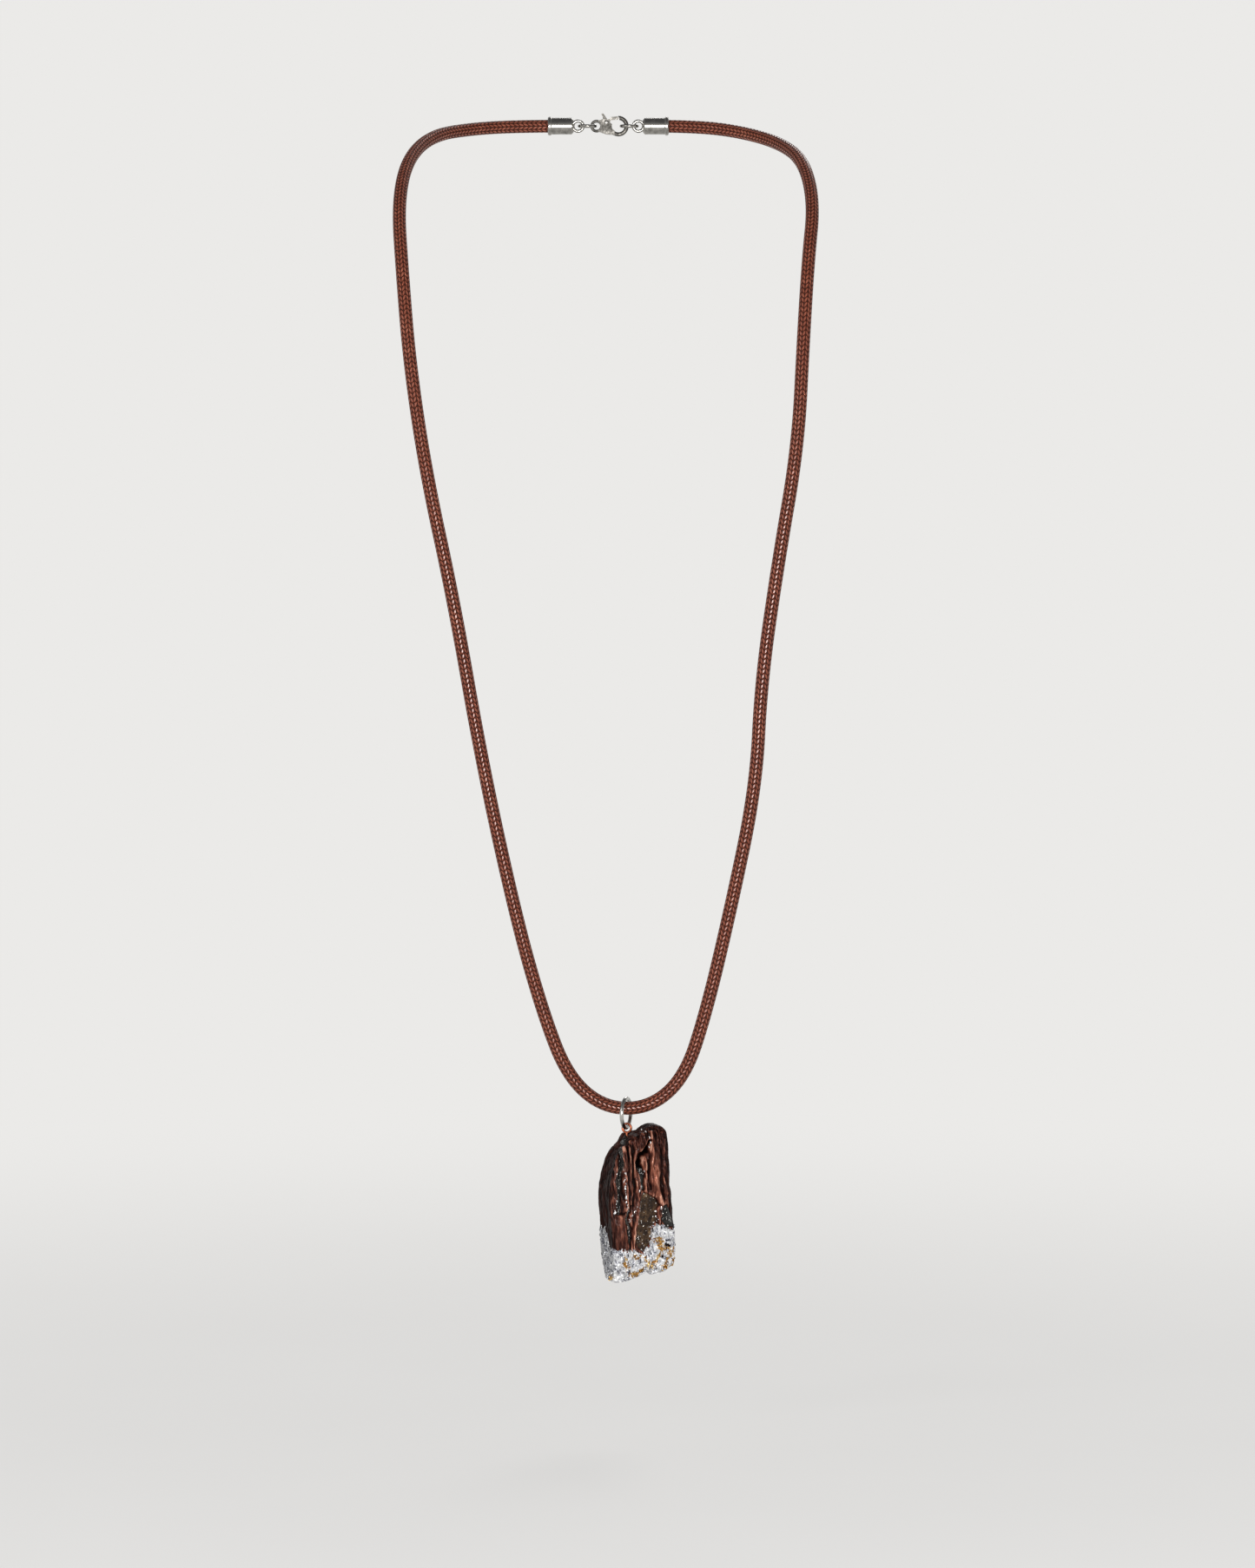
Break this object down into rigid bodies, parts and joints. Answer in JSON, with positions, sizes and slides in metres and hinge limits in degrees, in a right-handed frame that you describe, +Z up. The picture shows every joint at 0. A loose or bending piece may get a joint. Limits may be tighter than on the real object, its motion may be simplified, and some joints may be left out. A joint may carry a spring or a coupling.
{
  "type": "pendant necklace",
  "caption": "Long round braided cord necklace with a lobster clasp at the nape and a rough bark pendant filled with resin and dipped in silver leaf, hung from a jump ring.",
  "frame": {"origin": "the middle of the neck that the necklace hangs round, at the height of the clasp at the nape", "axes": "+X to the right as seen from the front, +Y from the chest towards the nape, +Z up"},
  "size_m": [0.1291, 0.1084, 0.3525],
  "materials": {
    "cord_braid": "glazed braided cotton, reddish brown",
    "cord_core": "twisted cotton filler",
    "silver_plate": "polished silver-coloured plate",
    "spring_steel": "bright spring wire",
    "copper_wire": "bare copper wire, slightly dulled",
    "cement": "cured cement",
    "bark": "bark with a coppery brown metallic glaze",
    "dark_resin": "dark olive resin with fine glints",
    "silver_leaf": "crinkled silver leaf",
    "gold_leaf": "flecks of gold leaf"
  },
  "bodies": {
    "cord": {"cord_braid": "cord_braid", "cord_core": "cord_core", "end_cap_left": "silver_plate", "end_cap_right": "silver_plate"},
    "left_link": {"link_ring_left": "silver_plate"},
    "clasp": {"clasp_body": "silver_plate", "clasp_rivet": "silver_plate", "clasp_spring": "spring_steel"},
    "gate": {"clasp_lever": "silver_plate"},
    "right_link": {"link_ring_right": "silver_plate"},
    "hanging_ring": {"pendant_ring": "silver_plate"},
    "pendant": {"eye_pin": "copper_wire", "pin_cement": "cement", "bark_core": "bark", "resin_fissure": "dark_resin", "resin_patch": "dark_resin", "resin_cleft": "dark_resin", "resin_side": "dark_resin", "silver_leaf": "silver_leaf", "gold_leaf": "gold_leaf"}
  },
  "joints": [
    {"name": "left_link_swing", "type": "hinge", "parent": "cord", "child": "left_link", "pos_m": [-0.00783, 0.047, 0], "axis": [0, 0, 1], "range_deg": [-15, 15]},
    {"name": "clasp_swing", "type": "hinge", "parent": "left_link", "child": "clasp", "pos_m": [-0.00402, 0.047, 0], "axis": [0, 0, 1], "range_deg": [-15, 15]},
    {"name": "right_link_swing", "type": "hinge", "parent": "cord", "child": "right_link", "pos_m": [0.00783, 0.047, 0], "axis": [0, 0, 1], "range_deg": [-15, 15]},
    {"name": "gate_swing", "type": "hinge", "parent": "clasp", "child": "gate", "pos_m": [-0.00063, 0.047, 0.00115], "axis": [0, 1, 0], "range_deg": [0, 32], "stiffness_Nm_per_rad": 0.004, "springref_deg": -17.19, "deforming": ["clasp_spring"]},
    {"name": "ring_swing", "type": "hinge", "parent": "cord", "child": "hanging_ring", "pos_m": [0.0056, -0.05, -0.2965], "axis": [1, 0, 0], "range_deg": [-90, 90]},
    {"name": "pendant_swing", "type": "hinge", "parent": "hanging_ring", "child": "pendant", "pos_m": [0.0056, -0.05, -0.30245], "axis": [0.309, 0.9511, 0], "range_deg": [-16, 60]}
  ],
  "couplings": [
    {"joint": "clasp_swing", "follows": "left_link_swing", "ratio": -1},
    {"joint": "right_link_swing", "follows": "left_link_swing", "ratio": -1}
  ]
}
